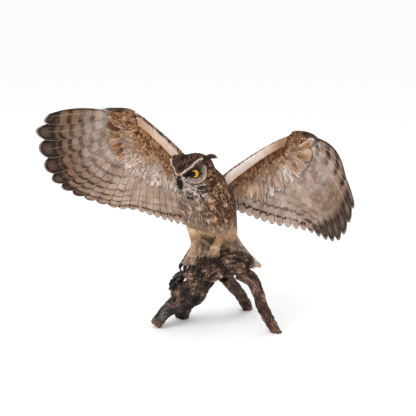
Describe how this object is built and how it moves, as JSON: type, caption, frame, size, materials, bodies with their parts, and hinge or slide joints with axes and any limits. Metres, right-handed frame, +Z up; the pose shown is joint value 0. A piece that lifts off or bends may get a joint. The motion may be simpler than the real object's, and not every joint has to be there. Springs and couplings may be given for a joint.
{
  "type": "painted resin owl statue",
  "caption": "Cast-resin horned owl statue, wings spread and claws forward on a four-footed driftwood base, hand-painted feather relief.",
  "frame": {"origin": "middle of the whole statue's footprint box, on the floor the base stands on", "axes": "+Z up; -Y is the side the breast faces; +X is the bird's left, along the wing span"},
  "size_m": [0.542, 0.1874, 0.3497],
  "materials": {
    "plumage_dark": "satin hand-painted resin, dark brown mottled with buff",
    "plumage_body": "satin hand-painted resin, buff with brown spots",
    "wing_coverts": "satin hand-painted resin, ochre coverts with a pale leading strip",
    "flight_feathers": "satin hand-painted resin, grey-beige with dark brown bars",
    "leg_plumage": "satin hand-painted resin, plain tan",
    "horn_black": "semi-gloss black paint on resin",
    "eye_amber": "glossy amber eye with a black pupil",
    "driftwood": "painted resin cast as dark gnarled driftwood, reddish-brown highlights"
  },
  "bodies": {
    "root": {"head": "plumage_dark", "beak": "horn_black", "neck": "plumage_body", "trunk": "plumage_body", "tail": "flight_feathers", "eye_right": "eye_amber", "ear_tuft_right": "plumage_dark", "leg_right": "leg_plumage", "foot_right": "leg_plumage", "wing_right_arm": "wing_coverts", "wing_right_hand": "wing_coverts", "wing_right_primaries": "flight_feathers", "wing_right_secondaries": "flight_feathers", "alula_right": "plumage_dark", "eye_left": "eye_amber", "ear_tuft_left": "plumage_dark", "leg_left": "leg_plumage", "foot_left": "leg_plumage", "wing_left_arm": "wing_coverts", "wing_left_hand": "wing_coverts", "wing_left_primaries": "flight_feathers", "wing_left_secondaries": "flight_feathers", "alula_left": "plumage_dark", "driftwood_log": "driftwood", "driftwood_knot": "driftwood", "driftwood_curl": "driftwood", "driftwood_branch_front": "driftwood", "driftwood_leg_side": "driftwood", "driftwood_leg_back": "driftwood"}
  },
  "joints": []
}
